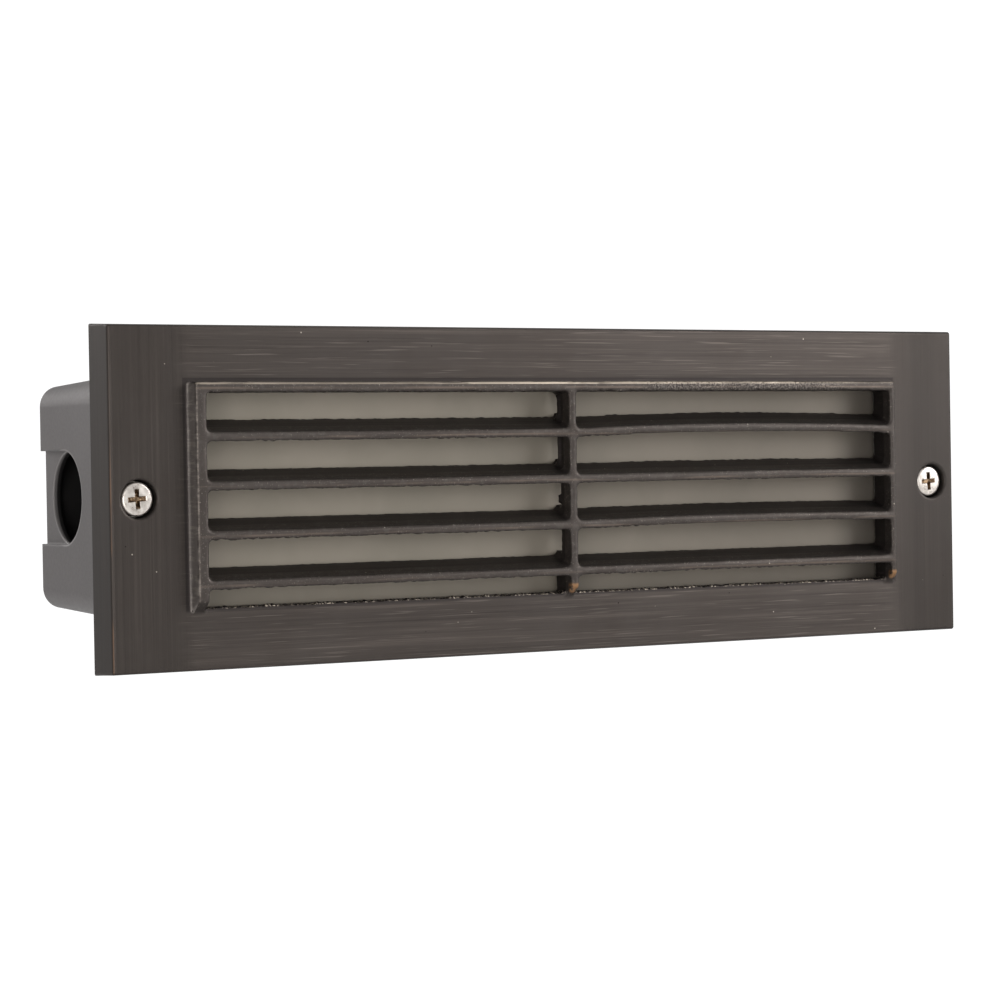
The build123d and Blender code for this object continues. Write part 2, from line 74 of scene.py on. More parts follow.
# ------------------------------------------------------------------------------------------
# node helpers
# ------------------------------------------------------------------------------------------
class Nodes:
    """Short hand for building one material's node tree."""

    def __init__(self, name):
        self.material = bpy.data.materials.new(name)
        self.material.use_nodes = True
        self.tree = self.material.node_tree
        self.tree.nodes.clear()
        self.output = self.tree.nodes.new("ShaderNodeOutputMaterial")
        self.shader = self.tree.nodes.new("ShaderNodeBsdfPrincipled")
        self.link(self.shader.outputs[0], self.output.inputs["Surface"])
        self.place = self.add("ShaderNodeTexCoord").outputs["Object"]

    def add(self, kind, **settings):
        node = self.tree.nodes.new(kind)
        for key, value in settings.items():
            setattr(node, key, value)
        return node

    def link(self, start, end):
        self.tree.links.new(start, end)

    def feed(self, socket, value):
        if hasattr(value, "is_output"):
            self.link(value, socket)
        else:
            socket.default_value = value

    def math(self, operation, a, b=0.0, clamp=False):
        node = self.add("ShaderNodeMath", operation=operation, use_clamp=clamp)
        for socket, value in zip(node.inputs, (a, b)):
            self.feed(socket, value)
        return node.outputs[0]

    def times(self, first, *others):
        for other in others:
            first = self.math("MULTIPLY", first, other)
        return first

    def plus(self, first, *others):
        for other in others:
            first = self.math("ADD", first, other)
        return first

    def minus(self, a, b):
        return self.math("SUBTRACT", a, b)

    def size(self, value):
        return self.math("ABSOLUTE", value)

    def length(self, a, b):
        return self.math("SQRT", self.plus(self.times(a, a), self.times(b, b)))

    def span(self, value, low, high, to_low=0.0, to_high=1.0):
        """Map a value's range smoothly to another one, clamped."""
        node = self.add("ShaderNodeMapRange", interpolation_type="SMOOTHSTEP")
        self.feed(node.inputs["Value"], value)
        ends = (("From Min", low), ("From Max", high), ("To Min", to_low), ("To Max", to_high))
        for key, number in ends:
            self.feed(node.inputs[key], number)
        return node.outputs["Result"]

    def span_mm(self, value, low, high, to_low=0.0, to_high=1.0):
        """The same for a length, with the range in millimetres."""
        return self.span(value, low * MM, high * MM, to_low, to_high)

    def near_mm(self, value, place, full, none):
        """1 at a place and 0 away from it, by the distances in millimetres."""
        return self.span_mm(self.size(self.minus(value, place * MM)), full, none, 1.0, 0.0)

    def scaled(self, scale, offset=(0, 0, 0)):
        node = self.add("ShaderNodeMapping")
        self.link(self.place, node.inputs["Vector"])
        node.inputs["Scale"].default_value = scale
        node.inputs["Location"].default_value = offset
        return node.outputs[0]

    def noise(self, scale, detail=3.0, rough=0.5, stretch=(1, 1, 1), offset=(0, 0, 0),
              distortion=0.0):
        node = self.add("ShaderNodeTexNoise")
        self.link(self.scaled(stretch, offset), node.inputs["Vector"])
        node.inputs["Scale"].default_value = scale
        node.inputs["Detail"].default_value = detail
        node.inputs["Roughness"].default_value = rough
        node.inputs["Distortion"].default_value = distortion
        return node.outputs["Fac"]

    def streaks(self, stretch, detail=3.0, rough=0.6, offset=(0, 0, 0)):
        """Noise drawn out along the axes with small factors."""
        return self.noise(1.0, detail, rough, stretch, offset)

    def cells(self, scale):
        node = self.add("ShaderNodeTexVoronoi", feature="F1")
        self.link(self.scaled((1, 1, 1)), node.inputs["Vector"])
        node.inputs["Scale"].default_value = scale
        return node.outputs["Distance"]

    def mix(self, factor, a, b):
        node = self.add("ShaderNodeMix", data_type="RGBA", clamp_factor=True)
        self.feed(node.inputs[0], factor)
        for socket, value in ((node.inputs[6], a), (node.inputs[7], b)):
            if not hasattr(value, "is_output"):
                value = (*value, 1.0)
            self.feed(socket, value)
        return node.outputs[2]

    def blend(self, factor, a, b):
        node = self.add("ShaderNodeMix", data_type="FLOAT", clamp_factor=True)
        for socket, value in ((node.inputs[0], factor), (node.inputs[2], a), (node.inputs[3], b)):
            self.feed(socket, value)
        return node.outputs[0]

    def axes(self):
        node = self.add("ShaderNodeSeparateXYZ")
        self.link(self.place, node.inputs[0])
        return node.outputs

    def bump(self, height, distance, strength, normal=None):
        node = self.add("ShaderNodeBump")
        node.inputs["Strength"].default_value = strength
        node.inputs["Distance"].default_value = distance
        self.link(height, node.inputs["Height"])
        if normal is not None:
            self.link(normal, node.inputs["Normal"])
        return node.outputs[0]

    def set(self, **values):
        names = {"color": "Base Color", "metallic": "Metallic", "rough": "Roughness",
                 "normal": "Normal", "spec": "Specular IOR Level",
                 "transmission": "Transmission Weight", "ior": "IOR"}
        for key, value in values.items():
            if key == "color" and not hasattr(value, "is_output"):
                value = (*value, 1.0)
            self.feed(self.shader.inputs[names[key]], value)
        return self.material


def edge_mask(n, radius):
    """Where the surface turns sharply: 0 on flats and 1 on edges, with the rounded normal."""
    gain = 3.0
    rounded = n.add("ShaderNodeBevel", samples=6)
    rounded.inputs["Radius"].default_value = radius
    flat = n.add("ShaderNodeNewGeometry").outputs["Normal"]
    dot = n.add("ShaderNodeVectorMath", operation="DOT_PRODUCT")
    n.link(rounded.outputs[0], dot.inputs[0])
    n.link(flat, dot.inputs[1])
    turned = n.minus(1.0, dot.outputs["Value"])
    return n.math("MULTIPLY", turned, gain, clamp=True), rounded.outputs[0]


# ------------------------------------------------------------------------------------------
# finishes
# ------------------------------------------------------------------------------------------
class DarkBronze(Nodes):
    """Oil-rubbed bronze: brushed along the rails and stiles, rough cast in the louvre field."""

    def __init__(self):
        super().__init__("dark_bronze")
        self.x, self.y, self.z = self.axes()
        self.edge, self.rounded = edge_mask(self, 0.3 * MM)
        self.from_middle = self.size(self.minus(self.x, FRAME_MIDDLE_X))
        self.proud = self.span_mm(self.y, -9.9, -9.6, 1.0, 0.0)
        self.flat = self.minus(1.0, self.proud)
        self.front = self.span_mm(self.y, -12.2, -12.45)
        self.skin = self.noise(650.0, 3.0, 0.6)
        self.pits = self.noise(1900.0, 2.0, 0.6)
        cloud = self.noise(30.0, 4.0, 0.6, distortion=0.4)
        self.base = self.mix(self.span(cloud, 0.3, 0.7), (0.052, 0.043, 0.038),
                             (0.060, 0.051, 0.046))

    def tint(self, factor, colour):
        self.base = self.mix(factor, self.base, colour)

    def brushed(self):
        """Brush marks along x on the rails and along z on the stiles, with painted shade on the
        stiles.
        """
        stray = self.times(self.streaks((10, 100, 500)), 9.0 * MM)
        on_stile = self.span_mm(self.plus(self.from_middle, stray), 101.0, 106.0)
        self.fine = self.blend(on_stile, self.streaks((16, 900, 2300), 5.0, 0.65),
                               self.streaks((2300, 900, 16), 5.0, 0.65))
        broad = self.blend(on_stile, self.streaks((7, 100, 420)), self.streaks((420, 100, 7)))
        strength = self.times(self.flat, self.blend(on_stile, 1.0, 0.5))
        self.tint(self.times(self.span(broad, 0.42, 0.7, 0.0, 0.30), strength),
                  (0.095, 0.080, 0.070))
        self.tint(self.times(self.span(self.fine, 0.52, 0.72, 0.0, 0.36), strength),
                  (0.125, 0.103, 0.090))
        self.tint(self.times(self.span(self.fine, 0.46, 0.30, 0.0, 0.45), strength),
                  (0.030, 0.025, 0.023))
        scratches = self.streaks((55, 300, 2900), 2.0, 0.5, offset=(3, 5, 7))
        scratches = self.times(self.span(scratches, 0.60, 0.72), strength,
                               self.minus(1.0, on_stile))
        self.tint(self.times(scratches, 0.32), (0.20, 0.17, 0.15))
        # painted shade: the stiles, the right one most, are dulled to stand in for their dimmer
        # reflection
        painted_stile_shade = (0.022, 0.019, 0.017)
        self.tint(self.times(on_stile, self.flat, 0.22), painted_stile_shade)
        self.tint(self.times(self.span_mm(self.x, 100, 106, 0.0, 0.32), self.flat), painted_stile_shade)

    def unbrushed_and_shaded_band(self):
        """Band round the foot of the frame: metal the brush didn't reach, with painted shade where
        the frame stands over the plate.
        """
        past_side = self.minus(self.from_middle, 98.1 * MM)
        past_top = self.minus(self.z, 25.25 * MM)
        past = self.math("MAXIMUM", past_side, past_top)
        self.band = self.times(self.span_mm(past, 0.95, 1.3, 1.0, 0.0), self.flat,
                               self.span_mm(self.z, -25.4, -24.6))
        # painted shade with unbrushed metal: the band is dimmed for the shade the raised frame
        # casts on the plate
        self.tint(self.times(self.band, 0.65), (0.022, 0.018, 0.018))

    def cast_skin(self):
        """Skin of frame, mullion and blades, with a painted highlight line low on each blade."""
        self.tint(self.times(self.span(self.skin, 0.50, 0.68, 0.0, 0.45), self.proud),
                  (0.088, 0.078, 0.072))
        grains = self.span(self.noise(2600.0, 2.0, 0.6, offset=(1, 2, 3)), 0.63, 0.70)
        self.tint(self.times(grains, self.proud, 0.6), (0.28, 0.245, 0.215))
        # painted highlight: a light line across each blade's front, where its rounded nose catches
        # the light
        down = self.math("MODULO", self.minus(BLADE_TOP + BLADE_PITCH, self.z), BLADE_PITCH)
        patches = self.span(self.streaks((45, 90, 700)), 0.4, 0.62)
        self.tint(self.times(self.near_mm(down, 1.15, 0.05, 0.40), self.front, patches, 0.5),
                  (0.17, 0.13, 0.105))

    def top_bar_painted_highlight(self):
        """Painted highlight along the upper edge of the frame's top bar, faint at both ends."""
        # painted highlight: the rounded upper edge is lightened where light from above would catch
        # it
        upper_edge = self.times(self.span_mm(self.z, 24.75, 24.98),
                                self.span_mm(self.y, -11.9, -12.2))
        along = self.times(self.span_mm(self.x, -70, 10, 0.45, 0.9),
                           self.span_mm(self.x, 60, 92, 1.0, 0.15))
        patches = self.span(self.streaks((120, 300, 900)), 0.32, 0.55, 0.35, 1.0)
        self.tint(self.times(upper_edge, along, patches), (0.55, 0.47, 0.38))

    def left_strip(self):
        """Ridges down the frame's left side and the crease beside them, with painted light: the
        side is lightened as if lit from the left, and ridges and crease get painted highlights.
        """
        self.strip = self.times(self.span_mm(self.x, -98.0, -98.25), self.proud)
        self.ridge = self.streaks((300, 300, 1500), 2.0)
        # painted light: the whole side strip is lightened as if lit from the left
        self.tint(self.strip, (0.170, 0.150, 0.138))
        # painted highlight along the crease at the frame's front left edge
        crease = self.times(self.near_mm(self.x, -97.95, 0.1, 0.3), self.front)
        self.tint(self.times(crease, self.span(self.ridge, 0.35, 0.65, 0.1, 0.6)),
                  (0.22, 0.19, 0.165))
        # painted highlights on the ridges of the side strip
        self.tint(self.times(self.span(self.ridge, 0.48, 0.68, 0.0, 0.65), self.strip),
                  (0.26, 0.23, 0.205))

    def worn_places(self):
        """Worn edges, and copper on the plate's left corner and on the tips of the bars."""
        worn = self.times(self.edge, self.span(self.noise(150.0, 3.0, 0.6), 0.56, 0.70))
        self.tint(self.times(worn, 0.5), (0.27, 0.21, 0.165))
        corner = self.times(self.span_mm(self.x, -117.1, -117.4),
                            self.span_mm(self.y, -9.0, -9.25),
                            self.span(self.streaks((60, 60, 60), 2.0), 0.4, 0.6),
                            self.span_mm(self.z, 14, 0, 0.1, 1.0))
        self.tint(self.times(corner, 0.2), (0.44, 0.22, 0.11))
        tips = self.times(self.span_mm(self.z, -21.7, -22.6),
                          self.span_mm(self.x, -2.2, -1.2, 0.0, 0.85),
                          self.span_mm(self.y, -10.6, -11.4),
                          self.span(self.skin, 0.34, 0.50))
        self.tint(self.times(tips, 0.75), (0.42, 0.225, 0.10))

    def pits_and_specks(self):
        """Dark dents all over, pits on the top bar, a nicked lip with painted glints, and light
        specks.
        """
        self.tint(self.span(self.cells(131.0), 0.02, 0.03, 0.85, 0.0), (0.008, 0.007, 0.007))
        pitted = self.times(self.span_mm(self.z, 22.9, 23.3), self.front,
                            self.span_mm(self.x, 15, 26), self.span_mm(self.x, 86, 74))
        self.tint(self.times(pitted, self.span(self.pits, 0.52, 0.62, 0.0, 0.5)),
                  (0.23, 0.20, 0.175))
        self.tint(self.times(pitted, self.span(self.pits, 0.46, 0.38, 0.0, 0.7)),
                  (0.015, 0.012, 0.012))
        lip = self.times(self.near_mm(self.z, -24.15, 0.30, 0.42), self.flat,
                         self.span_mm(self.from_middle, 96.0, 95.5))
        # painted glints: light flecks along the ragged lip
        self.tint(self.times(lip, self.span(self.pits, 0.53, 0.60, 0.0, 0.85)),
                  (0.42, 0.36, 0.29))
        self.tint(self.times(lip, self.span(self.pits, 0.48, 0.40, 0.0, 0.8)),
                  (0.012, 0.010, 0.010))
        self.tint(self.span(self.cells(180.0), 0.022, 0.035, 0.8, 0.0), (0.45, 0.40, 0.34))
        self.pitted = self.math("MAXIMUM", pitted, lip)

    def finish(self):
        self.brushed()
        self.unbrushed_and_shaded_band()
        self.cast_skin()
        self.top_bar_painted_highlight()
        self.left_strip()
        self.worn_places()
        self.pits_and_specks()
        unbrushed = self.math("MAXIMUM", self.proud, self.band)
        rough = self.plus(self.span(self.fine, 0.2, 0.8, 0.36, 0.48), self.times(unbrushed, 0.06))
        height = self.plus(self.times(self.fine, self.flat, 0.7),
                           self.times(self.skin, self.proud, 1.2),
                           self.times(self.pits, self.pitted, 2.0),
                           self.times(self.ridge, self.strip, 0.7))
        return self.set(color=self.base, metallic=0.85, rough=rough,
                        normal=self.bump(height, 0.05 * MM, 0.5, self.rounded))


def cast_box():
    """Satin grey-bronze casting, with painted shade that makes it near black inside and painted
    light on the wall of each conduit hole.
    """
    n = Nodes("cast_box")
    x, y, z = n.axes()
    _, rounded = edge_mask(n, 0.8 * MM)
    cloud = n.noise(22.0, 3.0, 0.55)
    grain = n.noise(1300.0, 2.0, 0.5)
    base = n.mix(n.span(cloud, 0.3, 0.7), (0.120, 0.110, 0.108), (0.137, 0.126, 0.124))
    shrink = n.times(y, BOX_DRAFT)
    room_x = n.minus(n.minus(BOX_ROOM_X, shrink), n.size(x))
    room_z = n.minus(n.minus(BOX_ROOM_Z, shrink), n.size(z))
    room = n.math("MINIMUM", n.math("MINIMUM", room_x, room_z), n.minus(BOX_ROOM_BACK, y))
    inside = n.span_mm(room, 0.0, 0.4)
    radius = n.length(n.minus(y, CONDUIT_Y), z)
    painted_bore_light = n.times(n.span_mm(radius, 11.6, 11.3), n.span_mm(room_x, 0.6, 0.2))
    # painted shade: the inside of the box is made near black, as no light gets in
    base = n.mix(n.times(inside, 0.88), base, (0.012, 0.011, 0.011))
    # painted light: the wall of each conduit hole is lightened as if lit from the front left
    base = n.mix(painted_bore_light, base, (0.22, 0.205, 0.2))
    return n.set(color=base, metallic=0.55, rough=n.span(grain, 0.3, 0.7, 0.44, 0.5),
                 normal=n.bump(grain, 0.012 * MM, 0.3, rounded))


def frosted_glass():
    """Frosted lens, with painted shade deepening to the right and a painted shadow at its right
    end.
    """
    n = Nodes("frosted_glass")
    x = n.axes()[0]
    mottle = n.noise(42.0, 3.0, 0.55, distortion=0.5)
    grain = n.noise(2600.0, 2.0, 0.5)
    base = n.mix(n.span(mottle, 0.25, 0.75), (0.236, 0.210, 0.168), (0.284, 0.249, 0.202))
    # painted shade: the lens dims towards the right
    base = n.mix(n.span_mm(x, -60, 70, 0.0, 0.52), base, (0.160, 0.134, 0.108))
    # painted shadow of the right bar at the lens's right end
    base = n.mix(n.span_mm(x, 80, 94, 0.0, 0.75), base, (0.060, 0.052, 0.044))
    return n.set(color=base, rough=n.span(grain, 0.3, 0.7, 0.42, 0.55), transmission=0.05,
                 ior=1.5, spec=0.25, normal=n.bump(grain, 0.01 * MM, 0.4))


def bright_steel():
    """Stainless washers and small screws."""
    n = Nodes("bright_steel")
    _, rounded = edge_mask(n, 0.12 * MM)
    turned = n.streaks((900, 900, 900))
    base = n.mix(n.span(turned, 0.3, 0.7), (0.55, 0.51, 0.46), (0.72, 0.68, 0.62))
    return n.set(color=base, metallic=1.0, rough=n.span(turned, 0.3, 0.7, 0.18, 0.32),
                 normal=n.bump(turned, 0.01 * MM, 0.3, rounded))


def cover_screw_steel():
    """Nickel-bright head with fine turning marks and grime in its cross."""
    n = Nodes("cover_screw_steel")
    x, y, z = n.axes()
    _, rounded = edge_mask(n, 0.1 * MM)
    radius = n.length(n.minus(n.size(x), SCREW_X * MM), z)
    turning = n.math("SINE", n.times(radius, 30000.0))
    patch = n.noise(700.0, 3.0, 0.6)
    base = n.mix(n.span(patch, 0.3, 0.7), (0.56, 0.51, 0.46), (0.72, 0.67, 0.62))
    in_cross = n.times(n.span_mm(y, HEAD_Y + 0.04, HEAD_Y + 0.3), n.span_mm(radius, 2.8, 2.6),
                       n.span_mm(y, HEAD_Y + 1.75, HEAD_Y + 1.9, 1.0, 0.0))
    grime = n.mix(n.span(patch, 0.45, 0.6), (0.10, 0.062, 0.036), (0.42, 0.30, 0.19))
    base = n.mix(in_cross, base, grime)
    rough = n.plus(n.span(patch, 0.3, 0.7, 0.26, 0.38), n.times(in_cross, 0.15))
    height = n.plus(n.times(turning, 0.15), patch)
    return n.set(color=base, metallic=0.95, rough=rough,
                 normal=n.bump(height, 0.012 * MM, 0.35, rounded))


def plain(name, low, high, metallic, rough, grain_scale=1200.0, depth=0.02, **more):
    """A finish with a fine grain and a soft change of tone."""
    n = Nodes(name)
    cloud = n.noise(45.0, 3.0, 0.5)
    grain = n.noise(grain_scale, 2.0, 0.5)
    return n.set(color=n.mix(n.span(cloud, 0.3, 0.7), low, high), metallic=metallic,
                 rough=n.span(grain, 0.3, 0.7, rough - 0.05, rough + 0.07),
                 normal=n.bump(grain, depth * MM, 0.4), **more)


# Name, lower and upper tone, metallic, roughness, and grain and its depth where it is special.
PLAIN_FINISHES = (
    ("black_rubber", (0.018, 0.018, 0.018), (0.03, 0.03, 0.03), 0.0, 0.62),
    ("black_plastic", (0.02, 0.02, 0.021), (0.03, 0.03, 0.032), 0.0, 0.45),
    ("bright_sheet", (0.70, 0.70, 0.71), (0.80, 0.80, 0.81), 1.0, 0.30, 2400.0, 0.002),
    ("holder_plastic", (0.62, 0.58, 0.5), (0.7, 0.66, 0.57), 0.0, 0.4),
    ("contact_brass", (0.72, 0.5, 0.2), (0.82, 0.6, 0.26), 1.0, 0.25),
    ("filament_wire", (0.3, 0.29, 0.28), (0.4, 0.39, 0.38), 1.0, 0.35),
    ("lead_insulation", (0.022, 0.022, 0.024), (0.034, 0.034, 0.036), 0.0, 0.38),
    ("connector_plastic", (0.26, 0.27, 0.29), (0.32, 0.33, 0.35), 0.0, 0.42),
)
finishes = {row[0]: plain(*row) for row in PLAIN_FINISHES}
finishes["dark_bronze_casting"] = DarkBronze().finish()
finishes["box_casting"] = cast_box()
finishes["frosted_glass"] = frosted_glass()
finishes["bright_screw"] = bright_steel()
finishes["clear_silicone"] = plain("clear_silicone", (0.45, 0.45, 0.42), (0.55, 0.55, 0.52),
                                   0.0, 0.35, transmission=0.4)
finishes["lamp_glass"] = plain("lamp_glass", (0.93, 0.95, 0.95), (0.97, 0.98, 0.98), 0.0, 0.06,
                               90.0, 0.002, transmission=1.0, ior=1.5)
screw_finish = cover_screw_steel()


# ------------------------------------------------------------------------------------------
# face plate: the casting's own mesh with its louvres softened and roughened
# ------------------------------------------------------------------------------------------
VOXEL = 0.4 * MM
RELAX_ROUNDS = 3
FLAT_ANGLE = math.radians(2.0)  # neighbouring faces within this angle become one
HASH_PRIMES = (73856093, 19349663, 83492791, 2654435761)


def lattice(points, seed):
    """One pseudo-random number from 0 to 1 for each whole-number point."""
    i = points.astype(np.int64)
    px, py, pz, ps = HASH_PRIMES
    h = i[:, 0] * px ^ i[:, 1] * py ^ i[:, 2] * pz ^ seed * ps
    h = (h ^ (h >> 13)) * 1274126177 & 0x7FFFFFFF
    return (h ^ (h >> 16)) % 65536 / 65535.0


def value_noise(points, size_mm, seed):
    """Smooth noise from -1 to 1 with cells of the given size, one size or one for each axis."""
    p = points / (np.asarray(size_mm, dtype=float) * MM)
    base = np.floor(p)
    t = p - base
    t = t * t * (3 - 2 * t)
    total = np.zeros(len(p))
    for corner in range(8):
        bits = np.array([corner & 1, corner >> 1 & 1, corner >> 2 & 1])
        weight = np.prod(np.where(bits, t, 1 - t), axis=1)
        total += weight * lattice(base + bits, seed)
    return total * 2 - 1


def smooth_step(value, low, high):
    t = np.clip((value - low) / (high - low), 0, 1)
    return t * t * (3 - 2 * t)


def step_mm(value, low, high):
    return smooth_step(value, low * MM, high * MM)


def between(value, low, high):
    return (value > low) & (value < high)


def evaluated_copy(source, name, *modifiers):
    """New mesh object from an object's mesh with the modifiers applied."""
    copy = bpy.data.objects.new(name, source.data.copy())
    scene.collection.objects.link(copy)
    for kind, settings in modifiers:
        modifier = copy.modifiers.new(kind, kind)
        for key, value in settings.items():
            setattr(modifier, key, value)
    evaluated = copy.evaluated_get(bpy.context.evaluated_depsgraph_get())
    mesh = bpy.data.meshes.new_from_object(evaluated)
    copy.modifiers.clear()
    copy.data = mesh
    return copy


def shade_smooth(piece):
    piece.data.polygons.foreach_set("use_smooth", [True] * len(piece.data.polygons))


def relax(points, edges, weight, rounds):
    """Move each point towards the middle of its neighbours, which rounds the edges off."""
    degree = np.bincount(edges.ravel(), minlength=len(points)).astype(float)
    for _ in range(rounds):
        middle = np.empty_like(points)
        for axis in range(3):
            line = points[:, axis]
            total = np.bincount(edges[:, 0], line[edges[:, 1]], len(points))
            total += np.bincount(edges[:, 1], line[edges[:, 0]], len(points))
            middle[:, axis] = total / degree
        points += (middle - points) * weight[:, None] * 0.5
    return points


def soften_louvres(points, edges, normals):
    """Round and roughen the frame, mullion and blades; the flat of the plate stays true."""
    x, y, z = points.T
    proud = smooth_step(y, PLATE_Y - 0.05 * MM, PLATE_Y - 0.4 * MM)
    in_field = between(x, FIELD_LEFT, FIELD_RIGHT) & between(z, LIP_Z - 0.4 * MM, 23.5 * MM)
    in_field = in_field * smooth_step(y, POCKET_Y + 0.2 * MM, POCKET_Y - 0.1 * MM)
    weight = np.maximum(proud, in_field)
    live = np.flatnonzero(weight > 0)
    first = points[live].copy()
    points = relax(points, edges, weight, RELAX_ROUNDS)
    points[live] = roughen(points[live], first, normals[live], weight[live], in_field[live])
    return points


def roughen(points, first, normals, weight, in_field):
    """Ragged edges, flash and cast skin; `first` holds each point's place before rounding."""
    x, y, z = first.T
    # the front edge of the top bar stands a little higher
    points[:, 2] += step_mm(z, 23.8, 24.4) * smooth_step(y, PLATE_Y, FRONT_Y) * 0.7 * MM
    patchy = smooth_step(value_noise(points, (9, 20, 6), 21), -0.35, 0.45)
    bite = value_noise(points, (1.1, 3, 3), 11)
    bite += 0.7 * value_noise(points, (0.5, 2, 2), 12)
    # lower front edge of each blade, and of the bar above
    below = (BLADE_TOP - BLADE_HEIGHT - (z - BLADE_CLIMB * (y - FRONT_Y))) % BLADE_PITCH
    near_edge = np.minimum(below, BLADE_PITCH - below)
    ragged = step_mm(near_edge, 0.7, 0.2) * step_mm(y, -11.4, -12.2)
    ragged *= between(x, FIELD_LEFT, FIELD_RIGHT) & between(z, LIP_Z, 23.4 * MM)
    points[:, 2] += bite * ragged * (0.06 + 0.16 * patchy) * MM
    # back edges of the blades' top faces, and the lip below the louvres
    back = smooth_step(y, POCKET_Y - 0.5 * MM, POCKET_Y - 0.15 * MM) * in_field
    points[:, 2] += bite * back * 0.12 * MM
    lip = step_mm(np.abs(z - LIP_Z), 0.7, 0.15) * step_mm(y, -7.6, -9.1)
    lip *= between(x, -95.0 * MM, 94.6 * MM)
    points[:, 2] += lip * bite * 0.26 * MM
    # flash left along the mullion's back edge
    flash = step_mm(np.abs(y - MULLION_BACK_Y), 0.9, 0.3) * step_mm(x, -0.2, -0.8)
    flash *= (x > -1.9 * MM) * smooth_step(value_noise(points, (9, 9, 2.3), 31), 0.0, 0.12)
    points[:, 0] -= flash * 0.55 * MM
    points[:, 1] += flash * 0.35 * MM
    # skin of the casting, rougher on the mullion, the right of the top bar and the left side
    by_mullion = 0.45 + 0.9 * step_mm(np.abs(x), 1.8, 0.9)
    pitted = step_mm(z, 22.6, 23.6) * step_mm(x, 10, 22) * step_mm(x, 82, 72)
    side_strip = step_mm(x, -97.6, -98.0)
    rough = value_noise(points, 2.4, 3) * 0.04
    rough += value_noise(points, 0.75, 4) * 0.05 * (by_mullion + 0.9 * pitted)
    rough += side_strip * value_noise(points, (3, 3, 0.9), 5) * 0.06
    return points + normals * (rough * weight * MM)[:, None]


def make_cast_face():
    """Remeshed copy of the face plate, softened and roughened, that takes its place."""
    source = frame["nodes"]["face_plate"]
    face = evaluated_copy(source, "cast_face", ("REMESH", {"mode": "VOXEL", "voxel_size": VOXEL}))
    mesh = face.data
    count = len(mesh.vertices)
    points, normals = np.empty(count * 3), np.empty(count * 3)
    mesh.vertices.foreach_get("co", points)
    mesh.vertices.foreach_get("normal", normals)
    edges = np.empty(len(mesh.edges) * 2, dtype=np.int64)
    mesh.edges.foreach_get("vertices", edges)
    points = soften_louvres(points.reshape(-1, 3), edges.reshape(-1, 2), normals.reshape(-1, 3))
    mesh.vertices.foreach_set("co", points.ravel())
    mesh.update()
    thinned = evaluated_copy(face, "louvre_face", ("DECIMATE", {
        "decimate_type": "DISSOLVE", "angle_limit": FLAT_ANGLE}))
    bpy.data.objects.remove(face)
    shade_smooth(thinned)
    thinned.modifiers.new("flats", "WEIGHTED_NORMAL").keep_sharp = True
    thinned.data.materials.clear()
    thinned.data.materials.append(finishes["dark_bronze_casting"])
    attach(thinned, "cover")
    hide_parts("face_plate")


# ------------------------------------------------------------------------------------------
# screws with threads and driven crosses, and lamps of blown glass
# ------------------------------------------------------------------------------------------
def mesh_object(name, verts, faces):
    mesh = bpy.data.meshes.new(name)
    mesh.from_pydata(verts, [], faces)
    mesh.update()
    piece = bpy.data.objects.new(name, mesh)
    scene.collection.objects.link(piece)
    return piece


def dress(piece, finish, body, node, sharp_degrees):
    """Smooth shading with sharp edges, material, body and the node replaced."""
    shade_smooth(piece)
    piece.modifiers.new("sharp", "EDGE_SPLIT").split_angle = math.radians(sharp_degrees)
    piece.data.materials.clear()
    piece.data.materials.append(finish)
    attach(piece, body)
    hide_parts(node)


def tube_faces(rows, segments, start=0):
    """Four-cornered faces between rows of points that lie in rings."""
    faces = []
    for i in range(rows - 1):
        for k in range(segments):
            a, b = start + i * segments + k, start + i * segments + (k + 1) % segments
            faces.append((a, b, b + segments, a + segments))
    return faces


def lathe(rows, place, segments):
    """Closed surface round an axis, from rows of (distance along it, radius or radius by angle)."""
    verts = []
    for along, radius in rows:
        for k in range(segments):
            angle = 2 * math.pi * k / segments
            r = radius(angle) if callable(radius) else radius
            verts.append(place(along, r * math.cos(angle), r * math.sin(angle)))
    faces = tube_faces(len(rows), segments)
    faces.append(tuple(range(segments))[::-1])
    faces.append(tuple(range(len(verts) - segments, len(verts))))
    return verts, faces


def cross_cutters(x, turned):
    """Two tapered slots and a cone, as a driver's cross leaves in a screw head."""
    spin = math.radians(turned)
    six_sides = [(0, 1, 2, 3), (7, 6, 5, 4)]
    six_sides += [(i, i + 4, (i + 1) % 4 + 4, (i + 1) % 4) for i in range(4)]
    shapes = []
    for across in (False, True):
        corners = []
        for y, a, b in ((HEAD_Y - 0.4, 2.7, 0.62), (HEAD_Y + 1.2, 1.1, 0.372)):
            loop = [(-a, -b), (a, -b), (a, b), (-a, b)]
            if across:
                loop = [(-q, p) for p, q in loop]
            corners += [((x + p * math.cos(spin) - q * math.sin(spin)) * MM, y * MM,
                         (p * math.sin(spin) + q * math.cos(spin)) * MM) for p, q in loop]
        shapes.append((corners, six_sides))
    cone = ((HEAD_Y - 0.4, 1.5), (HEAD_Y + 0.4, 1.1), (HEAD_Y + 1.5, 0.25), (HEAD_Y + 1.7, 0.02))
    shapes.append(lathe(cone, lambda y, a, b: ((x + a) * MM, y * MM, b * MM), 16))
    return [mesh_object("cutter", *shape) for shape in shapes]


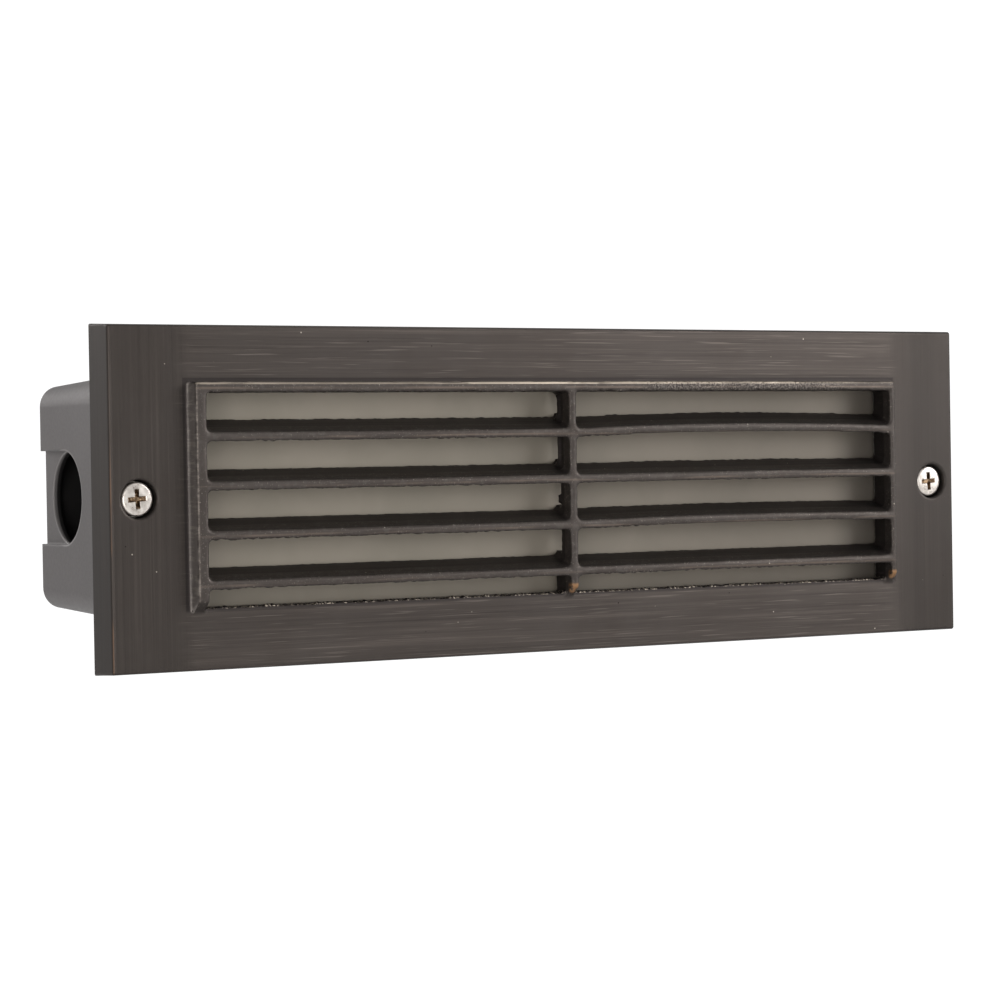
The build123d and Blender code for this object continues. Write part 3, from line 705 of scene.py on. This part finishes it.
def screw_rows():
    """Rows of a screw from head to tip: (distance, radius or radius by angle)."""
    rows = [(HEAD_Y, 0.01), (HEAD_Y, 3.1), (HEAD_Y + 0.05, 3.42), (HEAD_Y + 0.16, 3.66),
            (HEAD_Y + 0.36, HEAD_R), (HEAD_Y + HEAD_H - 0.15, HEAD_R),
            (HEAD_Y + HEAD_H, HEAD_R - 0.1), (HEAD_Y + HEAD_H, SHANK_R - 0.25),
            (HEAD_Y + HEAD_H + 0.6, SHANK_R - 0.25)]
    y = HEAD_Y + HEAD_H + 0.7
    while y < TIP_Y - 0.02:
        narrow = min(1.0, (TIP_Y - y) / 0.8)

        def radius(angle, y=y, narrow=narrow):
            phase = (y / THREAD_PITCH - angle / (2 * math.pi)) % 1.0
            crest = max(0.0, min(1.0, 1.6 - abs(phase - 0.5) * 4.0))
            return (SHANK_R - THREAD_GROOVE + 0.41 * crest) * (0.72 + 0.28 * narrow)
        rows.append((y, radius))
        y += THREAD_PITCH / THREAD_STEPS
    rows.append((TIP_Y, (SHANK_R - THREAD_GROOVE) * 0.72))
    return rows


def make_screw(side, turned):
    """Threaded cover screw with its cross turned by some degrees."""
    word = "left" if side < 0 else "right"
    x = side * SCREW_X
    blank = mesh_object("blank", *lathe(screw_rows(),
                                        lambda y, a, b: ((x + a) * MM, y * MM, b * MM), 48))
    cutters = cross_cutters(x, turned)
    screw = evaluated_copy(blank, f"{word}_threaded_screw", *[
        ("BOOLEAN", {"operation": "DIFFERENCE", "solver": "EXACT", "object": cutter})
        for cutter in cutters])
    for spare in cutters + [blank]:
        bpy.data.objects.remove(spare)
    dress(screw, screw_finish, f"{word}_screw", f"{word}_cover_screw", 32)


# Lamp, in millimetres from the foot of its tube: (distance, radius) of the tube, and
# (distance, half width, half thickness) of the pinched base.
LAMP_TUBE = [(0, 0.5), (0, 4.2), (0.5, 4.6), (1.5, 5.0), (3.0, 6.1), (4.6, 7.2), (6.5, 7.8),
             (9.0, 7.88), (15.0, 7.88), (21.0, 7.88), (23.2, 7.75), (25.0, 7.2), (26.6, 6.1),
             (27.8, 4.5), (28.5, 2.6), (28.75, 1.0), (28.95, 0.6), (29.0, 0.1)]
LAMP_BASE = [(1.0, 4.4, 1.6), (-0.3, 4.7, 1.15), (-1.2, 4.75, 1.1), (-4.0, 4.75, 1.1),
             (-4.4, 4.6, 0.95), (-5.2, 4.6, 0.95), (-5.6, 4.75, 1.1), (-8.2, 4.75, 1.1),
             (-9.0, 4.5, 0.8)]
LAMP_LENGTH, LAMP_WALL = 29.0, 0.8
TUBE_SEGMENTS, BASE_SEGMENTS = 40, 16


def make_lamp(side):
    """Blown glass tube with a rounded tip and a pinched base, in the CAD lamp's place."""
    word = "left" if side < 0 else "right"
    low, high = (Vector(corner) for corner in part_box(f"{word}_lamp_bulb"))
    tip_x = high.x if side < 0 else low.x
    foot_x = tip_x + side * LAMP_LENGTH * MM
    lamp_y = (low.y + high.y) / 2

    def place(along, a, b):
        return (foot_x - side * along * MM, lamp_y + a * MM, b * MM)

    verts, faces = lathe(LAMP_TUBE, place, TUBE_SEGMENTS)
    hollow = [(along * 0.95 + 0.9, max(0.05, r - LAMP_WALL)) for along, r in LAMP_TUBE[1:-3]]
    inner, inner_faces = lathe(hollow, place, TUBE_SEGMENTS)
    faces += [tuple(i + len(verts) for i in f[::-1]) for f in inner_faces]
    verts += inner
    start = len(verts)
    for along, half_y, half_z in LAMP_BASE:
        for k in range(BASE_SEGMENTS):
            angle = 2 * math.pi * (k + 0.5) / BASE_SEGMENTS
            c, d = math.cos(angle), math.sin(angle)
            verts.append(place(along, math.copysign(abs(c) ** 0.5, c) * half_y,
                               math.copysign(abs(d) ** 0.7, d) * half_z))
    faces += tube_faces(len(LAMP_BASE), BASE_SEGMENTS, start)
    faces.append(tuple(range(start, start + BASE_SEGMENTS)))
    faces.append(tuple(range(len(verts) - BASE_SEGMENTS, len(verts)))[::-1])
    lamp = mesh_object(f"{word}_blown_lamp", verts, faces)
    dress(lamp, finishes["lamp_glass"], f"{word}_lamp", f"{word}_lamp_bulb", 40)


# ------------------------------------------------------------------------------------------
# camera, floor and light
# ------------------------------------------------------------------------------------------
CAMERA_AT = (-0.39314, -0.61644, 0.00748)
CAMERA_ROLL, CAMERA_TILT, CAMERA_ROUND = -0.95, 0.77, -31.67
CAMERA_LENS, CAMERA_SENSOR = 110.3, 36.0
FLOOR_SIDE, FLOOR_LEVEL = 30.0, -0.35
SKY_LOW, SKY_TOP = 0.34, 0.80
WHITE_STRENGTH = 1.1            # enough for the background to come out pure white


def turn(axis, degrees):
    return Matrix.Rotation(math.radians(degrees), 3, axis)


def make_camera():
    """Camera fitted to the photograph: almost level, 31.7 degrees round to the left."""
    look_along_y = Matrix(((1, 0, 0), (0, 0, -1), (0, 1, 0)))
    to_camera = turn("Z", CAMERA_ROLL) @ turn("X", CAMERA_TILT) @ turn("Y", CAMERA_ROUND)
    right, down, ahead = to_camera @ look_along_y
    data = bpy.data.cameras.new("camera")
    data.lens, data.sensor_width = CAMERA_LENS, CAMERA_SENSOR
    data.clip_start, data.clip_end = 0.01, 50.0
    camera = bpy.data.objects.new("camera", data)
    camera.matrix_world = Matrix.Translation(CAMERA_AT) @ Matrix(
        (right, -down, -ahead)).transposed().to_4x4()
    scene.collection.objects.link(camera)
    scene.camera = camera


def area_light(name, place, target, width, height, watts):
    data = bpy.data.lights.new(name, "AREA")
    data.shape, data.size, data.size_y, data.energy = "RECTANGLE", width, height, watts
    light = bpy.data.objects.new(name, data)
    light.location = place
    light.rotation_euler = (Vector(target) - Vector(place)).to_track_quat("-Z", "Y").to_euler()
    scene.collection.objects.link(light)


def white_when_seen(tree, lit, out):
    """The camera sees plain white; the object is lit by the shader given."""
    seen = tree.nodes.new("ShaderNodeEmission")
    seen.inputs["Strength"].default_value = WHITE_STRENGTH
    path = tree.nodes.new("ShaderNodeLightPath")
    choice = tree.nodes.new("ShaderNodeMixShader")
    tree.links.new(path.outputs["Is Camera Ray"], choice.inputs[0])
    tree.links.new(lit, choice.inputs[1])
    tree.links.new(seen.outputs[0], choice.inputs[2])
    tree.links.new(choice.outputs[0], out)


def make_floor():
    """Wide pale floor well below the light."""
    corners = [(x * FLOOR_SIDE, y * FLOOR_SIDE, FLOOR_LEVEL)
               for x, y in ((-1, -1), (1, -1), (1, 1), (-1, 1))]
    floor = mesh_object("floor", corners, [(0, 1, 2, 3)])
    n = Nodes("floor_paint")
    n.set(color=n.mix(n.noise(3.0), (0.78, 0.78, 0.78), (0.82, 0.82, 0.82)), rough=0.8)
    white_when_seen(n.tree, n.shader.outputs[0], n.output.inputs["Surface"])
    floor.data.materials.append(n.material)


def make_world():
    """Soft light all round, brighter from above."""
    world = bpy.data.worlds.new("studio")
    world.use_nodes = True
    tree = world.node_tree
    lit = tree.nodes["Background"]
    direction = tree.nodes.new("ShaderNodeTexCoord").outputs["Generated"]
    split = tree.nodes.new("ShaderNodeSeparateXYZ")
    tree.links.new(direction, split.inputs[0])
    rise = tree.nodes.new("ShaderNodeMapRange")
    tree.links.new(split.outputs[2], rise.inputs["Value"])
    ends = (("From Min", -0.1), ("From Max", 0.9), ("To Min", SKY_LOW), ("To Max", SKY_TOP))
    for key, value in ends:
        rise.inputs[key].default_value = value
    lit.inputs["Color"].default_value = (1, 1, 1, 1)
    tree.links.new(rise.outputs[0], lit.inputs["Strength"])
    white_when_seen(tree, lit.outputs[0], tree.nodes["World Output"].inputs["Surface"])
    scene.world = world


def make_stage():
    make_floor()
    make_world()
    area_light("right_key", (1.6, -1.25, 0.55), (0.05, 0, 0), 1.0, 0.9, 22)
    area_light("left_fill", (-1.2, -0.85, 0.06), (-0.1, 0, 0), 0.7, 0.7, 6)
    area_light("front_fill", (-0.35, -2.2, -0.12), (0, 0, 0), 0.9, 0.5, 7)
    area_light("back_fill", (-0.8, 1.3, 0.6), (-0.1, 0, 0), 0.9, 0.9, 5)
    scene.view_settings.view_transform = "Standard"


slot_of = {row["node"]: row["material_slot"] for row in frame["record"]["subparts"]}
for node_name, node in frame["nodes"].items():
    node.data.materials.clear()
    node.data.materials.append(finishes[slot_of[node_name]])
make_cast_face()
for side, turned in ((-1, 4), (1, 94)):
    make_screw(side, turned)
    make_lamp(side)
make_camera()
make_stage()
